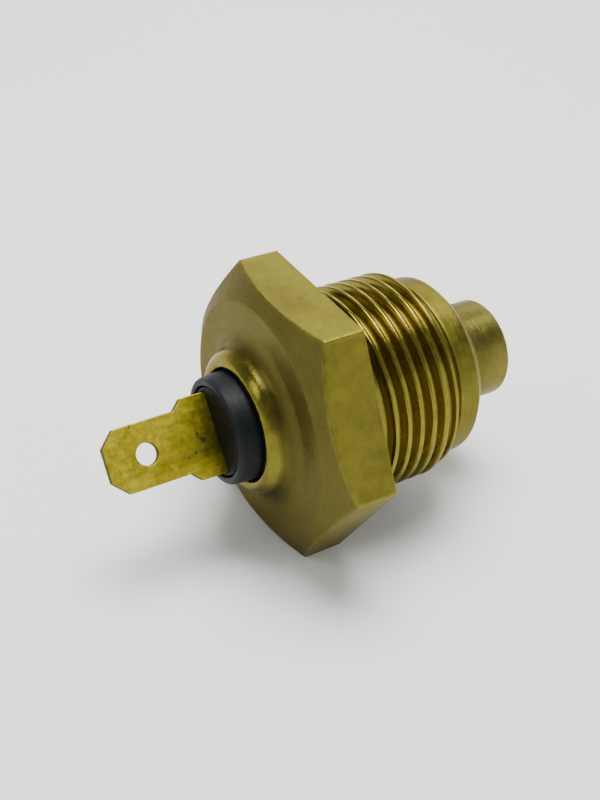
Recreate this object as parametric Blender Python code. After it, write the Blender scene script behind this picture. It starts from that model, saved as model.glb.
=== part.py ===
"""Screw-in plunger pressure switch: brass hex body, M22 x 1.5 thread and one blade terminal.

The switch lies with its axis along X. +X runs towards the terminal and +Z is up, square to one
hex flat. The origin is the bottom centre of the switch's box, below the axis. Every piece is
drawn in the switch's own coordinates, x = 0 on the seat face of the hex, and is parented to an
empty on the axis. The plunger and the moving contact have empties of their own on that axis.
"""

import math

import bmesh
import bpy
from mathutils import Matrix, Vector

MM = 0.001

# Gaps between separate pieces
FIT_GAP = 0.3 * MM  # pieces that touch or seat on each other
RUN_GAP = 0.1 * MM  # pieces that slide in each other

# Hex body, outside
HEX_FLATS = 27.0 * MM
HEX_CORNER_HEIGHT = 4.2 * MM
HEX_FACE_RADIUS = 12.0 * MM
CHAMFER_SLOPE = math.tan(math.radians(30.0))
SEAT_RING_RADIUS = 12.8 * MM
SEAT_RELIEF_RADIUS = 11.2 * MM  # clear of the thread crests
SEAT_RING_HEIGHT = 0.12 * MM
BOSS_BASE_RADIUS = 9.2 * MM
BOSS_RADIUS = 7.55 * MM
BOSS_HEIGHT = 2.45 * MM
LIP_RADIUS = 5.85 * MM
LIP_THICKNESS = 1.0 * MM
THREAD_RADIUS = 10.95 * MM
THREAD_PITCH = 1.5 * MM
THREAD_DEPTH = 0.9 * MM
THREAD_FIRST = 1.0 * MM  # seat face to the end of the thread near the hex
THREAD_LAST = 11.4 * MM  # seat face to the end of the thread near the nose
COLLAR_RADIUS = 9.6 * MM
COLLAR_FIRST = 12.0 * MM
COLLAR_LAST = 14.2 * MM
NOSE_FACE = 15.65 * MM
NOSE_FACE_RADIUS = 8.1 * MM

# Hex body, inside
CHAMBER_RADIUS = 6.6 * MM
CHAMBER_FLOOR = 8.0 * MM
SEAL_BORE_RADIUS = 5.6 * MM
BUSH_SEAT_RADIUS = 6.3 * MM
BUSH_SEAT_FLOOR = 12.4 * MM

# Guide bush and plunger
BUSH_PROUD = 0.25 * MM
PLUNGER_RADIUS = 5.3 * MM
PLUNGER_END = 21.95 * MM
PLUNGER_STROKE = 1.5 * MM
PLUNGER_CHAMFER = 0.3 * MM
FLANGE_RADIUS = 6.2 * MM
FLANGE_THICKNESS = 1.2 * MM
STOP_WASHER_THICKNESS = 0.35 * MM
SPIGOT_RADIUS = 3.7 * MM
SPIGOT_HEIGHT = 1.0 * MM
SEAL_WIRE = 0.9 * MM
SEAL_GROOVE_DEPTH = 1.0 * MM
SEAL_FROM_FLOOR = 2.2 * MM  # chamber floor to the near wall of the seal groove
BACKUP_THICKNESS = 0.6 * MM
PIN_RADIUS = 1.2 * MM
PIN_SOCKET_DEPTH = 3.5 * MM

# Contacts
CONTACT_TRAVEL = 0.8 * MM
FIXED_CONTACT_RADIUS = 1.7 * MM
FIXED_CONTACT_THICKNESS = 0.7 * MM
FIXED_CONTACT_FACE = 3.0 * MM
CAP_RADIUS = 2.1 * MM
CAP_HEIGHT = 1.6 * MM
MOVING_CONTACT_RADIUS = 1.5 * MM
MOVING_CONTACT_THICKNESS = 0.6 * MM
CARRIER_RADIUS = 3.3 * MM
CARRIER_THICKNESS = 0.6 * MM
CARRIER_STEM_RADIUS = 2.0 * MM

# Springs and their seat
RETURN_SPRING_RADIUS = 4.9 * MM
RETURN_SPRING_WIRE = 0.9 * MM
RETURN_SPRING_TURNS = 5
CONTACT_SPRING_RADIUS = 2.75 * MM
CONTACT_SPRING_WIRE = 0.5 * MM
CONTACT_SPRING_TURNS = 5
SPRING_SEAT_THICKNESS = 0.6 * MM
SHIM_THICKNESS = 0.3 * MM
SEAT_HOLE_RADIUS = 3.9 * MM

# Insulator and what holds and seals it
INSULATOR_SHOULDER = 6.6 * MM
INSULATOR_BOTTOM = 2.4 * MM
INSULATOR_TOP = 10.9 * MM
INSULATOR_TOP_RADIUS = 5.0 * MM
INSULATOR_NECK_RADIUS = 5.6 * MM
INSULATOR_EDGE = 0.55 * MM
INSULATOR_SEAL_WIRE = 0.8 * MM
INSULATOR_SEAL_HEIGHT = 4.4 * MM
CLAMP_WASHER_THICKNESS = 0.5 * MM
RESIN_DEPTH = 0.7 * MM
RESIN_RADIUS = 4.55 * MM

# Blade terminal
BLADE_WIDTH = 6.3 * MM
BLADE_THICKNESS = 0.8 * MM
BLADE_TIP = 22.2 * MM
BLADE_CORNER = 1.5 * MM
BLADE_HOLE_RADIUS = 1.1 * MM
BLADE_HOLE_FROM_TIP = 4.1 * MM
BLADE_SHOULDER = 13.9 * MM
ROOT_WIDTH = 8.2 * MM
ROOT_CORNER = 0.5 * MM
ROOT_BOTTOM = 8.7 * MM
TANG_WIDTH = 2.6 * MM
BLADE_TURN = math.radians(40.4)

# Facets around a full turn
FINE = 48
SMALL = 24

AXIS_HEIGHT = HEX_FLATS / 2
SEAT_X = (PLUNGER_END - BLADE_TIP) / 2
THREAD_ROOT_RADIUS = THREAD_RADIUS - THREAD_DEPTH
FACE_X = HEX_CORNER_HEIGHT + (HEX_FLATS / math.sqrt(3) - HEX_FACE_RADIUS) * CHAMFER_SLOPE
BOSS_TOP = FACE_X + BOSS_HEIGHT


def clear_scene():
    for obj in list(bpy.data.objects):
        bpy.data.objects.remove(obj, do_unlink=True)


def add_empty(name, parent=None):
    empty = bpy.data.objects.new(name, None)
    empty.empty_display_size = 0.005
    bpy.context.scene.collection.objects.link(empty)
    empty.parent = parent
    return empty


def make_material(name, colour, roughness, metallic):
    material = bpy.data.materials.new(name)
    material.use_nodes = True
    shader = material.node_tree.nodes["Principled BSDF"]
    shader.inputs["Base Color"].default_value = (*colour, 1.0)
    shader.inputs["Roughness"].default_value = roughness
    shader.inputs["Metallic"].default_value = metallic
    return material


def link_object(name, data, material, parent):
    obj = bpy.data.objects.new(name, data)
    data.materials.append(material)
    bpy.context.scene.collection.objects.link(obj)
    obj.parent = parent
    return obj


def finish_mesh(name, mesh_edit, material, parent, smooth=True):
    bmesh.ops.recalc_face_normals(mesh_edit, faces=mesh_edit.faces)
    mesh = bpy.data.meshes.new(name)
    mesh_edit.to_mesh(mesh)
    mesh_edit.free()
    if smooth:
        mesh.shade_smooth()
        mesh.set_sharp_from_angle(angle=math.radians(35.0))
    return link_object(name, mesh, material, parent)


def around_axis(x, radius, angle):
    """A point at this distance along the axis, angle 0 on +Y and a quarter turn on +Z."""
    return Vector((x, radius * math.cos(angle), radius * math.sin(angle)))


def add_ring(mesh_edit, place, steps):
    """One closed ring of vertices; place gives (x, radius) for an angle."""
    ring = []
    for step in range(steps):
        angle = 2 * math.pi * step / steps
        x, radius = place(angle)
        ring.append(mesh_edit.verts.new(around_axis(x, radius, angle)))
    return ring


def join_rings(mesh_edit, first, second):
    steps = len(first)
    for step in range(steps):
        after = (step + 1) % steps
        mesh_edit.faces.new((first[step], first[after], second[after], second[step]))


def fixed(x, radius):
    """A ring place that is the same all round."""
    return lambda angle: (x, radius)


def turned_ring(name, profile, material, parent, steps=SMALL):
    """A turned piece with a bore: profile is a closed loop of (x, radius) points."""
    mesh_edit = bmesh.new()
    rings = [add_ring(mesh_edit, fixed(x, radius), steps) for x, radius in profile]
    for index, ring in enumerate(rings):
        join_rings(mesh_edit, ring, rings[(index + 1) % len(rings)])
    return finish_mesh(name, mesh_edit, material, parent)


def turned_solid(name, profile, material, parent, steps=SMALL):
    """A turned piece that is solid at its ends: profile runs from one end face to the other."""
    mesh_edit = bmesh.new()
    rings = [add_ring(mesh_edit, fixed(x, radius), steps) for x, radius in profile]
    for first, second in zip(rings, rings[1:]):
        join_rings(mesh_edit, first, second)
    mesh_edit.faces.new(rings[0])
    mesh_edit.faces.new(rings[-1])
    return finish_mesh(name, mesh_edit, material, parent)


def washer(name, near, thickness, inner, outer, material, parent):
    far = near + thickness
    profile = [(near, inner), (near, outer), (far, outer), (far, inner)]
    return turned_ring(name, profile, material, parent, SMALL)


def seal_ring(name, centre_x, centre_radius, wire, material, parent):
    """A rubber ring of round section."""
    section_steps = 8
    profile = []
    for step in range(section_steps):
        angle = 2 * math.pi * step / section_steps
        x = centre_x + wire / 2 * math.cos(angle)
        profile.append((x, centre_radius + wire / 2 * math.sin(angle)))
    return turned_ring(name, profile, material, parent, SMALL)


def coil_spring(name, near, far, radius, wire, turns, material, parent):
    """A coil of wire between two planes: the wire's own surface stays inside both."""
    points_per_turn = 16
    start = near + wire / 2
    travel = far - near - wire
    count = turns * points_per_turn
    curve = bpy.data.curves.new(name, "CURVE")
    curve.dimensions = "3D"
    curve.bevel_depth = wire / 2
    curve.bevel_resolution = 1
    curve.use_fill_caps = True
    spline = curve.splines.new("POLY")
    spline.points.add(count)
    for index in range(count + 1):
        share = index / count
        point = around_axis(start + travel * share, radius, 2 * math.pi * turns * share)
        spline.points[index].co = (*point, 1.0)
    return link_object(name, curve, material, parent)


def extruded_plate(mesh_edit, outline, holes, thickness):
    """A flat plate in the XZ plane, centred on y = 0, from an outline and closed hole loops."""
    for loop in [outline, *holes]:
        corners = [mesh_edit.verts.new((x, -thickness / 2, z)) for x, z in loop]
        for index, corner in enumerate(corners):
            mesh_edit.edges.new((corner, corners[(index + 1) % len(corners)]))
    bmesh.ops.triangle_fill(mesh_edit, edges=mesh_edit.edges[:], use_beauty=True)
    extruded = bmesh.ops.extrude_face_region(mesh_edit, geom=mesh_edit.faces[:])
    moved = [item for item in extruded["geom"] if isinstance(item, bmesh.types.BMVert)]
    bmesh.ops.translate(mesh_edit, verts=moved, vec=(0, thickness, 0))


def box_cutter(name, low_x, high_x, width, thickness, parent):
    """A box along the axis, turned with the blade, that other pieces are cut by."""
    mesh_edit = bmesh.new()
    bmesh.ops.create_cube(mesh_edit, size=1.0)
    scale = Vector((high_x - low_x, thickness, width))
    bmesh.ops.scale(mesh_edit, vec=scale, verts=mesh_edit.verts)
    bmesh.ops.translate(mesh_edit, vec=((low_x + high_x) / 2, 0, 0), verts=mesh_edit.verts)
    turn = Matrix.Rotation(BLADE_TURN, 3, "X")
    bmesh.ops.rotate(mesh_edit, matrix=turn, verts=mesh_edit.verts)
    mesh = bpy.data.meshes.new(name)
    mesh_edit.to_mesh(mesh)
    mesh_edit.free()
    cutter = bpy.data.objects.new(name, mesh)
    bpy.context.scene.collection.objects.link(cutter)
    cutter.parent = parent
    cutter.hide_render = True
    cutter.display_type = "WIRE"
    return cutter


def cut_away(obj, cutter):
    modifier = obj.modifiers.new("cut_by_" + cutter.name, "BOOLEAN")
    modifier.operation = "DIFFERENCE"
    modifier.solver = "EXACT"
    modifier.object = cutter


def hex_radius(angle):
    """Distance from the axis to the hexagon, whose corners start at angle 0."""
    from_flat = angle % (math.pi / 3) - math.pi / 6
    return HEX_FLATS / 2 / math.cos(from_flat)


def hex_edge(angle):
    """Where the chamfer cone leaves the hexagon: arcs on the flats, lowest at the corners."""
    radius = hex_radius(angle)
    corner = HEX_FLATS / math.sqrt(3)
    return HEX_CORNER_HEIGHT + (corner - radius) * CHAMFER_SLOPE, radius


def thread_rings(mesh_edit):
    """Rings of a right-hand thread from the nose end to the hex end.

    Each turn has four rows: two on the crest and two in the root. The rows climb one pitch in a
    turn, so the last column meets the first one four rows up. Both ends fade to the root.
    """
    rows_per_turn = 4
    low = -THREAD_LAST
    high = -THREAD_FIRST
    turns = math.ceil((high - low) / THREAD_PITCH) + 2
    row_count = turns * rows_per_turn
    squeeze = 0.015 * MM
    fade_length = 0.6 * THREAD_PITCH
    crest_share = (0.0, 0.18, 0.56, 0.72)
    columns = []
    for step in range(FINE):
        angle = 2 * math.pi * step / FINE
        column = []
        for row in range(row_count + 1):
            turn, place = divmod(row, rows_per_turn)
            climb = turn + crest_share[place] - 1 + angle / (2 * math.pi)
            x = low + climb * THREAD_PITCH
            near_end = min(x - low, high - x) / fade_length
            crest = THREAD_DEPTH * min(max(near_end, 0.0), 1.0) if place < 2 else 0.0
            x = max(x, low + row * squeeze)
            x = min(x, high - (row_count - row) * squeeze)
            column.append(mesh_edit.verts.new(around_axis(x, THREAD_ROOT_RADIUS + crest, angle)))
        columns.append(column)
    for step in range(FINE - 1):
        for row in range(row_count):
            first, second = columns[step], columns[step + 1]
            mesh_edit.faces.new((first[row], second[row], second[row + 1], first[row + 1]))
    last, start = columns[-1], columns[0]
    for row in range(row_count - rows_per_turn):
        ahead = row + rows_per_turn
        mesh_edit.faces.new((last[row], start[ahead], start[ahead + 1], last[row + 1]))
    bottom_rows = range(rows_per_turn + 1)
    mesh_edit.faces.new((last[0], *[start[row] for row in bottom_rows]))
    top_rows = range(row_count, row_count - rows_per_turn - 1, -1)
    mesh_edit.faces.new((start[row_count], *[last[row] for row in top_rows]))
    return [column[0] for column in columns], [column[-1] for column in columns]


def boss_profile():
    """The formed boss: a hollow fillet out of the hex face, then a rounded lip over the insulator."""
    fillet_steps = 4
    fillet_depth = BOSS_HEIGHT * 0.45
    fillet_width = BOSS_BASE_RADIUS - BOSS_RADIUS
    points = []
    for step in range(fillet_steps + 1):
        angle = math.pi / 2 * step / fillet_steps
        x = FACE_X + fillet_depth * (1 - math.cos(angle))
        points.append((x, BOSS_BASE_RADIUS - fillet_width * math.sin(angle)))
    crown_steps = 4
    crown_depth = BOSS_HEIGHT - fillet_depth
    crown_width = BOSS_RADIUS - LIP_RADIUS - 0.35 * MM
    for step in range(1, crown_steps + 1):
        angle = math.pi / 2 * step / crown_steps
        x = FACE_X + fillet_depth + crown_depth * math.sin(angle)
        points.append((x, BOSS_RADIUS - crown_width * (1 - math.cos(angle))))
    return points


def build_hex_body(material, parent):
    mesh_edit = bmesh.new()
    nose = [
        (-NOSE_FACE, BUSH_SEAT_RADIUS),
        (-NOSE_FACE, NOSE_FACE_RADIUS),
        (-COLLAR_LAST, COLLAR_RADIUS),
        (-COLLAR_FIRST, COLLAR_RADIUS),
        (-COLLAR_FIRST + 0.25 * MM, THREAD_ROOT_RADIUS - 0.65 * MM),
        (-THREAD_LAST - 0.1 * MM, THREAD_ROOT_RADIUS - 0.65 * MM),
    ]
    rings = [add_ring(mesh_edit, fixed(x, radius), FINE) for x, radius in nose]
    thread_start, thread_end = thread_rings(mesh_edit)
    join_rings(mesh_edit, rings[-1], thread_start)
    for first, second in zip(rings, rings[1:]):
        join_rings(mesh_edit, first, second)
    seat = [
        (0.0, THREAD_ROOT_RADIUS),
        (0.0, SEAT_RELIEF_RADIUS),
        (-SEAT_RING_HEIGHT, SEAT_RELIEF_RADIUS + SEAT_RING_HEIGHT),
        (-SEAT_RING_HEIGHT, SEAT_RING_RADIUS),
        (0.0, SEAT_RING_RADIUS + SEAT_RING_HEIGHT),
    ]
    outside = [add_ring(mesh_edit, fixed(x, radius), FINE) for x, radius in seat]
    outside.append(add_ring(mesh_edit, lambda angle: (0.0, hex_radius(angle)), FINE))
    outside.append(add_ring(mesh_edit, hex_edge, FINE))
    outside.append(add_ring(mesh_edit, fixed(FACE_X, HEX_FACE_RADIUS), FINE))
    inside = [
        (BOSS_TOP - 0.1 * MM, LIP_RADIUS),
        (BOSS_TOP - LIP_THICKNESS, LIP_RADIUS),
        (BOSS_TOP - LIP_THICKNESS, CHAMBER_RADIUS),
        (-CHAMBER_FLOOR, CHAMBER_RADIUS),
        (-CHAMBER_FLOOR, SEAL_BORE_RADIUS),
        (-BUSH_SEAT_FLOOR, SEAL_BORE_RADIUS),
        (-BUSH_SEAT_FLOOR, BUSH_SEAT_RADIUS),
    ]
    for x, radius in boss_profile() + inside:
        outside.append(add_ring(mesh_edit, fixed(x, radius), FINE))
    join_rings(mesh_edit, thread_end, outside[0])
    for first, second in zip(outside, outside[1:]):
        join_rings(mesh_edit, first, second)
    join_rings(mesh_edit, outside[-1], rings[0])
    return finish_mesh("hex_body", mesh_edit, material, parent)


def build_guide_bush(material, parent):
    near = -NOSE_FACE - BUSH_PROUD
    far = -BUSH_SEAT_FLOOR - FIT_GAP
    outer = BUSH_SEAT_RADIUS - FIT_GAP
    inner = PLUNGER_RADIUS + RUN_GAP
    edge = 0.15 * MM
    profile = [
        (near, inner + edge),
        (near, outer - edge),
        (near + edge, outer),
        (far, outer),
        (far, inner),
        (near + edge, inner),
    ]
    return turned_ring("guide_bush", profile, material, parent, FINE)


def flange_bottom():
    return -CHAMBER_FLOOR + FIT_GAP + STOP_WASHER_THICKNESS + FIT_GAP


def flange_top():
    return flange_bottom() + FLANGE_THICKNESS


def build_plunger(material, parent):
    groove_near = -CHAMBER_FLOOR - SEAL_FROM_FLOOR
    groove_length = SEAL_WIRE + BACKUP_THICKNESS + 3 * FIT_GAP
    groove_far = groove_near - groove_length
    groove_radius = PLUNGER_RADIUS - SEAL_GROOVE_DEPTH
    spigot_top = flange_top() + SPIGOT_HEIGHT
    socket_radius = PIN_RADIUS + RUN_GAP
    outside = [
        (-PLUNGER_END, PLUNGER_RADIUS - PLUNGER_CHAMFER),
        (-PLUNGER_END + PLUNGER_CHAMFER, PLUNGER_RADIUS),
        (groove_far, PLUNGER_RADIUS),
        (groove_far, groove_radius),
        (groove_near, groove_radius),
        (groove_near, PLUNGER_RADIUS),
        (flange_bottom(), PLUNGER_RADIUS),
        (flange_bottom(), FLANGE_RADIUS),
        (flange_top(), FLANGE_RADIUS),
        (flange_top(), SPIGOT_RADIUS),
        (spigot_top, SPIGOT_RADIUS),
        (spigot_top, socket_radius),
        (spigot_top - PIN_SOCKET_DEPTH, socket_radius),
    ]
    return turned_solid("plunger", outside, material, parent, FINE)


def build_plunger_seals(rubber, plastic, parent):
    groove_near = -CHAMBER_FLOOR - SEAL_FROM_FLOOR
    seal_x = groove_near - FIT_GAP - SEAL_WIRE / 2
    seal_radius = SEAL_BORE_RADIUS - RUN_GAP - SEAL_WIRE / 2
    seal_ring("plunger_seal", seal_x, seal_radius, SEAL_WIRE, rubber, parent)
    backup_far = seal_x - SEAL_WIRE / 2 - FIT_GAP - BACKUP_THICKNESS
    inner = PLUNGER_RADIUS - SEAL_GROOVE_DEPTH + RUN_GAP
    outer = SEAL_BORE_RADIUS - RUN_GAP
    washer("backup_ring", backup_far, BACKUP_THICKNESS, inner, outer, plastic, parent)


def overtravel():
    """How far the plunger goes on after the contacts have met."""
    return PLUNGER_STROKE - CONTACT_TRAVEL


def build_guide_pin(material, parent):
    bottom = flange_top() + SPIGOT_HEIGHT - PIN_SOCKET_DEPTH + FIT_GAP
    top = carrier_top() - CARRIER_THICKNESS - overtravel() - FIT_GAP
    edge = 0.2 * MM
    profile = [
        (bottom, PIN_RADIUS - edge),
        (bottom + edge, PIN_RADIUS),
        (top - edge, PIN_RADIUS),
        (top, PIN_RADIUS - edge),
    ]
    return turned_solid("guide_pin", profile, material, parent, SMALL)


def moving_contact_face():
    """At full stroke the moving contact stops one fit gap short of the fixed one."""
    return FIXED_CONTACT_FACE - FIT_GAP - CONTACT_TRAVEL


def carrier_top():
    return moving_contact_face() - MOVING_CONTACT_THICKNESS - FIT_GAP


def build_contact_carrier(material, parent):
    top = carrier_top()
    plate = top - CARRIER_THICKNESS
    stem = flange_top() + SPIGOT_HEIGHT + overtravel() + 2 * FIT_GAP
    bore = PIN_RADIUS + RUN_GAP
    vent = 0.5 * MM
    profile = [
        (top, vent),
        (top, CARRIER_RADIUS),
        (plate, CARRIER_RADIUS),
        (plate, CARRIER_STEM_RADIUS),
        (stem, CARRIER_STEM_RADIUS),
        (stem, bore),
        (plate, bore),
        (plate, vent),
    ]
    return turned_ring("contact_carrier", profile, material, parent, SMALL)


def build_contact_button(name, face, radius, thickness, facing, material, parent):
    """A silver button: facing is +1 when its working face looks towards the terminal."""
    back = face - facing * thickness
    crown = face - facing * thickness * 0.3
    profile = [(back, radius), (crown, radius), (face, radius * 0.7)]
    return turned_solid(name, profile, material, parent, SMALL)


def cap_near():
    return FIXED_CONTACT_FACE + FIXED_CONTACT_THICKNESS + FIT_GAP


def tang_bottom():
    """The tang ends inside the cap's slot."""
    return cap_near() + CAP_HEIGHT * 0.4


def insulator_outer_radius():
    return CHAMBER_RADIUS - FIT_GAP


def spring_seat_near():
    return INSULATOR_BOTTOM - FIT_GAP - SHIM_THICKNESS - FIT_GAP - SPRING_SEAT_THICKNESS


def build_springs(material, root, plunger_axis):
    coil_spring(
        "return_spring",
        flange_top() + FIT_GAP,
        spring_seat_near() - FIT_GAP,
        RETURN_SPRING_RADIUS,
        RETURN_SPRING_WIRE,
        RETURN_SPRING_TURNS,
        material,
        root,
    )
    coil_spring(
        "contact_spring",
        flange_top() + SPIGOT_HEIGHT + FIT_GAP,
        carrier_top() - CARRIER_THICKNESS - FIT_GAP,
        CONTACT_SPRING_RADIUS,
        CONTACT_SPRING_WIRE,
        CONTACT_SPRING_TURNS,
        material,
        plunger_axis,
    )


def build_spring_seat(steel, parent):
    outer = CHAMBER_RADIUS - FIT_GAP
    near = spring_seat_near()
    washer("spring_seat", near, SPRING_SEAT_THICKNESS, SEAT_HOLE_RADIUS, outer, steel, parent)
    shim = near + SPRING_SEAT_THICKNESS + FIT_GAP
    washer("setting_shim", shim, SHIM_THICKNESS, SEAT_HOLE_RADIUS, outer, steel, parent)


def build_insulator(material, parent):
    outer = insulator_outer_radius()
    seal_near = INSULATOR_SEAL_HEIGHT - INSULATOR_SEAL_WIRE / 2 - RUN_GAP
    seal_far = INSULATOR_SEAL_HEIGHT + INSULATOR_SEAL_WIRE / 2 + RUN_GAP
    groove = CHAMBER_RADIUS - RUN_GAP - INSULATOR_SEAL_WIRE - RUN_GAP
    roof = cap_near() + CAP_HEIGHT + FIT_GAP
    neck = INSULATOR_NECK_RADIUS
    recess = RESIN_RADIUS + RUN_GAP
    recess_floor = INSULATOR_TOP - RESIN_DEPTH - RUN_GAP
    profile = [
        (roof, TANG_WIDTH / 4),
        (roof, SEAT_HOLE_RADIUS),
        (INSULATOR_BOTTOM, SEAT_HOLE_RADIUS),
        (INSULATOR_BOTTOM, outer),
        (seal_near, outer),
        (seal_near, groove),
        (seal_far, groove),
        (seal_far, outer),
        (INSULATOR_SHOULDER, outer),
        (INSULATOR_SHOULDER, neck),
        (BOSS_TOP, neck),
        (INSULATOR_TOP - INSULATOR_EDGE, INSULATOR_TOP_RADIUS + INSULATOR_EDGE * 0.8),
        (INSULATOR_TOP - INSULATOR_EDGE * 0.3, INSULATOR_TOP_RADIUS + INSULATOR_EDGE * 0.4),
        (INSULATOR_TOP, INSULATOR_TOP_RADIUS),
        (INSULATOR_TOP, recess),
        (recess_floor, recess),
        (recess_floor, TANG_WIDTH / 4),
    ]
    insulator = turned_ring("insulator", profile, material, parent, FINE)
    beyond = INSULATOR_TOP + 2 * MM
    slot = BLADE_THICKNESS + 2 * FIT_GAP
    root_floor = ROOT_BOTTOM - FIT_GAP
    root_slot = box_cutter("root_slot", root_floor, beyond, ROOT_WIDTH + 2 * FIT_GAP, slot, parent)
    below = INSULATOR_BOTTOM - 1 * MM
    tang_slot = box_cutter("tang_slot", below, beyond, TANG_WIDTH + 2 * FIT_GAP, slot, parent)
    cut_away(insulator, root_slot)
    cut_away(insulator, tang_slot)
    return insulator


def build_insulator_seals(rubber, fibre, parent):
    radius = CHAMBER_RADIUS - RUN_GAP - INSULATOR_SEAL_WIRE / 2
    seal_ring("insulator_seal", INSULATOR_SEAL_HEIGHT, radius, INSULATOR_SEAL_WIRE, rubber, parent)
    near = INSULATOR_SHOULDER + FIT_GAP
    inner = INSULATOR_NECK_RADIUS + RUN_GAP
    outer = CHAMBER_RADIUS - FIT_GAP
    washer("clamp_washer", near, CLAMP_WASHER_THICKNESS, inner, outer, fibre, parent)


def build_resin_seal(material, parent):
    far = INSULATOR_TOP - 0.05 * MM
    near = INSULATOR_TOP - RESIN_DEPTH
    profile = [(near, RESIN_RADIUS), (far - 0.15 * MM, RESIN_RADIUS), (far, RESIN_RADIUS - 0.2 * MM)]
    resin = turned_solid("resin_seal", profile, material, parent, FINE)
    slot = BLADE_THICKNESS + 2 * RUN_GAP
    width = ROOT_WIDTH / 2 + RUN_GAP
    resin_slot = box_cutter("resin_slot", near - 1 * MM, far + 1 * MM, 2 * width, slot, parent)
    cut_away(resin, resin_slot)
    return resin


def blade_outline():
    """Half of the blade from its tip to its tang, mirrored for the other half."""
    half = BLADE_WIDTH / 2
    root = ROOT_WIDTH / 2
    tang = TANG_WIDTH / 2
    upper = [
        (BLADE_TIP, half - BLADE_CORNER),
        (BLADE_TIP - BLADE_CORNER, half),
        (BLADE_SHOULDER + ROOT_CORNER, half),
        (BLADE_SHOULDER, half + ROOT_CORNER),
        (BLADE_SHOULDER - ROOT_CORNER, root),
        (ROOT_BOTTOM, root),
        (ROOT_BOTTOM, tang),
        (tang_bottom(), tang),
    ]
    lower = [(x, -across) for x, across in reversed(upper)]
    return upper + lower


def build_blade(material, parent):
    hole_steps = 20
    hole_x = BLADE_TIP - BLADE_HOLE_FROM_TIP
    hole = []
    for step in range(hole_steps):
        angle = 2 * math.pi * step / hole_steps
        across = BLADE_HOLE_RADIUS * math.sin(angle)
        hole.append((hole_x + BLADE_HOLE_RADIUS * math.cos(angle), across))
    mesh_edit = bmesh.new()
    extruded_plate(mesh_edit, blade_outline(), [hole], BLADE_THICKNESS)
    turn = Matrix.Rotation(BLADE_TURN, 3, "X")
    bmesh.ops.rotate(mesh_edit, matrix=turn, verts=mesh_edit.verts)
    return finish_mesh("terminal_blade", mesh_edit, material, parent, smooth=False)


def build_contact_cap(material, parent):
    """The brass cap that holds the fixed contact on the blade's tang."""
    near = cap_near()
    far = near + CAP_HEIGHT
    profile = [(near, CAP_RADIUS - 0.2 * MM), (near + 0.2 * MM, CAP_RADIUS), (far, CAP_RADIUS)]
    cap = turned_solid("contact_cap", profile, material, parent, SMALL)
    slot = BLADE_THICKNESS + 2 * RUN_GAP
    width = TANG_WIDTH + 2 * RUN_GAP
    floor = tang_bottom() - RUN_GAP
    cap_slot = box_cutter("cap_slot", floor, far + 1 * MM, width, slot, parent)
    cut_away(cap, cap_slot)
    return cap


def build_switch():
    clear_scene()
    brass = make_material("brass", (0.46, 0.36, 0.11), 0.42, 1.0)
    yellow_brass = make_material("yellow_brass", (0.62, 0.50, 0.10), 0.38, 1.0)
    bronze = make_material("bronze", (0.40, 0.26, 0.10), 0.5, 1.0)
    silver = make_material("silver", (0.75, 0.74, 0.70), 0.3, 1.0)
    steel = make_material("steel", (0.42, 0.42, 0.43), 0.35, 1.0)
    phenolic = make_material("phenolic", (0.013, 0.015, 0.017), 0.45, 0.0)
    resin = make_material("resin", (0.02, 0.018, 0.015), 0.3, 0.0)
    rubber = make_material("rubber", (0.02, 0.02, 0.02), 0.8, 0.0)
    white_plastic = make_material("white_plastic", (0.75, 0.74, 0.70), 0.5, 0.0)
    fibre = make_material("fibre", (0.32, 0.08, 0.04), 0.8, 0.0)

    root = add_empty("switch_axis")
    root.location = (SEAT_X, 0.0, AXIS_HEIGHT)
    plunger_axis = add_empty("plunger_axis", root)
    contact_axis = add_empty("contact_axis", root)

    build_hex_body(brass, root)
    build_guide_bush(bronze, root)
    build_plunger(brass, plunger_axis)
    build_plunger_seals(rubber, white_plastic, plunger_axis)
    build_guide_pin(steel, plunger_axis)
    stop_near = -CHAMBER_FLOOR + FIT_GAP
    stop_inner = PLUNGER_RADIUS + RUN_GAP
    stop_outer = CHAMBER_RADIUS - FIT_GAP
    washer("stop_washer", stop_near, STOP_WASHER_THICKNESS, stop_inner, stop_outer, fibre, root)
    build_contact_carrier(yellow_brass, contact_axis)
    build_contact_button(
        "moving_contact",
        moving_contact_face(),
        MOVING_CONTACT_RADIUS,
        MOVING_CONTACT_THICKNESS,
        1,
        silver,
        contact_axis,
    )
    build_springs(steel, root, plunger_axis)
    build_spring_seat(steel, root)
    build_insulator(phenolic, root)
    build_insulator_seals(rubber, fibre, root)
    build_contact_button(
        "fixed_contact",
        FIXED_CONTACT_FACE,
        FIXED_CONTACT_RADIUS,
        FIXED_CONTACT_THICKNESS,
        -1,
        silver,
        root,
    )
    build_contact_cap(yellow_brass, root)
    build_blade(yellow_brass, root)
    build_resin_seal(resin, root)


build_switch()
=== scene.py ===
"""The screw-in plunger pressure switch, lying on one hex flat on a pale table.

Lengths are in millimetres where a piece is drawn and in metres once it is a mesh. The switch's
axis runs along X at AXIS_HEIGHT over the table, and x = 0 is the seat face of its hexagon.
"""

import math

import bmesh
import bpy
import numpy as np
from mathutils import Matrix, Vector


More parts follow.
